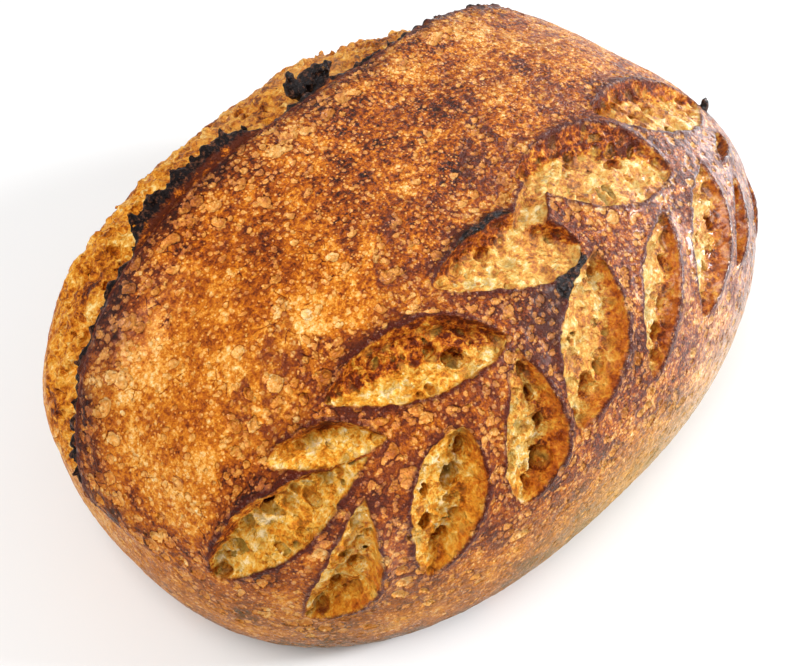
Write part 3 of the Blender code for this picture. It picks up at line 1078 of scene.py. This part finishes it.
        golden = self.times(self.left, self.range(self.toast, 0.15, 0.55, 0.26, 0.0))
        colour = self.mix(golden, self.ramp(tone, CRUMB_TONES), GOLDEN)
        colour = self.mix(self.times(bloom, 0.8), colour, self.ramp(tone, BLOOM_TONES))
        window = self.times(self.range(hollow, 0.15, 0.50), self.range(broad, 0.35, 0.85, 0.20, 0.85))
        colour = self.mix(window, colour, WINDOW)
        # Painted shade: the bottoms of the deep pores are darkened
        colour = self.mix(self.range(hollow, 0.50, 0.95, 0.0, 0.9), colour, DEEP_PORE_SHADE)
        # Painted sheen: little-toasted crumb towards +X, the side facing the light, is mixed towards a
        # pale beige
        pale = self.times(self.right, self.range(self.toast, 0.15, 0.50, 0.20, 0.0))
        return self.mix(pale, colour, CRUMB_SHEEN)

    def finish_surface(self):
        """How rough and how glossy the surface is, and its finest relief."""
        crumb = self.mask("crumb")
        gloss = self.range(self.noise(3.4, 3.0, 0.6), 0.0, 1.0, 0.20, 0.55)
        roughness = self.total(gloss, (crumb, 0.12), (self.mask("purple"), -0.06))
        self.shade("Roughness", roughness)
        raised = self.times(self.blistered, self.rest(crumb))
        specular = self.total(0.10, (self.right, 0.14), (raised, 0.32))
        self.shade("Specular IOR Level", specular)
        shine = self.times(self.mask("shine"), self.rest(self.burnt))
        shine = self.times(shine, self.range(self.mottle, 0.2, 0.7, 0.3, 1.0))
        self.shade("Coat Weight", shine)
        self.shade("Coat Roughness", COAT_ROUGHNESS)

        height = self.total(0.0, (self.mottle, 0.60), (self.grain, 0.60), (self.dust, 0.30))
        height = self.total(height, (self.flake, 0.40), (self.bead, 0.35))
        height = self.total(height, (self.small_dome, 0.45), (self.tiny_dome, 0.25))
        flake_dome = self.range(self.mask("flake"), -0.1, 0.9)
        bead_dome = self.range(self.mask("bead"), -0.1, 0.5)
        height = self.total(height, (self.cracks, -0.50), (flake_dome, 1.1), (bead_dome, 0.6))
        bump = self.new("ShaderNodeBump")
        self.put(bump.inputs["Height"], height)
        self.put(bump.inputs["Strength"], BUMP_STRENGTH)
        self.put(bump.inputs["Distance"], BUMP_DISTANCE)
        self.shade("Normal", bump.outputs["Normal"])


def bread_material(name):
    """The masks pick crust, crumb or burnt dough at each point, so every slot has the same nodes."""
    bread = Bread(name)
    colour = bread.mix(bread.mask("crumb"), bread.crust_colour(), bread.crumb_colour())
    # The scorched cut edge, darkened further by painted shade in the crease
    colour = bread.mix(bread.times(bread.mask("edge_and_crease_shade"), 0.85), colour, EDGE_AND_CREASE_SHADE)
    burnt = bread.mix(bread.range(bread.grain, 0.55, 1.0), CHAR_DARK, CHAR_LIGHT)
    colour = bread.mix(bread.burnt, colour, burnt)
    bread.shade("Base Color", colour)
    bread.finish_surface()
    return bread.material


make_pieces()

# ---- stage, light and camera

FLOOR_REACH = 3.0
FLOOR_COLOUR = (0.85, 0.85, 0.85, 1.0)
FLOOR_ROUGHNESS = 0.8
WORLD_COLOUR = (0.95, 0.97, 1.0, 1.0)
WORLD_STRENGTH = 0.43
LIGHT_TARGET = (0.0, 0.0, 0.05)
CAMERA_AZIMUTH = -46.0
CAMERA_ELEVATION = 50.0
CAMERA_DISTANCE = 0.360
CAMERA_TARGET = Vector((-0.019, -0.0125, 0.050))
CAMERA_LENS = 52.7

# Each light: name, place, size, power and colour
LIGHTS = (
    ("window", (0.64, -0.76, 0.6), (0.24, 0.24), 12.5, (0.95, 0.97, 1.0)),
    ("overhead", (-0.45, 0.05, 0.9), (0.7, 0.7), 8.0, (1.0, 0.98, 0.95)),
    ("low_window", (0.9, -0.1, 0.16), (0.8, 0.24), 3.9, (0.92, 0.95, 1.0)),
)


def look_at(item, place, target):
    item.location = place
    item.rotation_euler = (Vector(target) - Vector(place)).to_track_quat("-Z", "Y").to_euler()


def add_floor():
    mesh = bpy.data.meshes.new("floor")
    corners = [(FLOOR_REACH * x, FLOOR_REACH * y, 0.0) for x, y in ((-1, -1), (1, -1), (1, 1), (-1, 1))]
    mesh.from_pydata(corners, [], [(0, 1, 2, 3)])
    floor = add_object("floor", mesh)
    paint = Nodes("floor_white")
    paint.shade("Base Color", FLOOR_COLOUR)
    paint.shade("Roughness", FLOOR_ROUGHNESS)
    mesh.materials.append(paint.material)


def add_light(name, place, size, power, colour):
    light = bpy.data.lights.new(name, "AREA")
    light.shape = "RECTANGLE"
    light.size, light.size_y = size
    light.energy = power
    light.color = colour
    look_at(add_object(name, light), place, LIGHT_TARGET)


def add_camera():
    camera = add_object("camera", bpy.data.cameras.new("camera"))
    camera.data.lens = CAMERA_LENS
    camera.data.clip_start = 0.01
    turn, rise = math.radians(CAMERA_AZIMUTH), math.radians(CAMERA_ELEVATION)
    back = Vector((math.sin(turn) * math.cos(rise), -math.cos(turn) * math.cos(rise), math.sin(rise)))
    look_at(camera, CAMERA_TARGET + CAMERA_DISTANCE * back, CAMERA_TARGET)
    bpy.context.scene.camera = camera


def add_world():
    world = bpy.data.worlds.new("studio")
    world.use_nodes = True
    background = world.node_tree.nodes["Background"]
    background.inputs["Color"].default_value = WORLD_COLOUR
    background.inputs["Strength"].default_value = WORLD_STRENGTH
    bpy.context.scene.world = world
    bpy.context.scene.view_settings.view_transform = "Standard"


add_floor()
add_world()
for light_row in LIGHTS:
    add_light(*light_row)
add_camera()
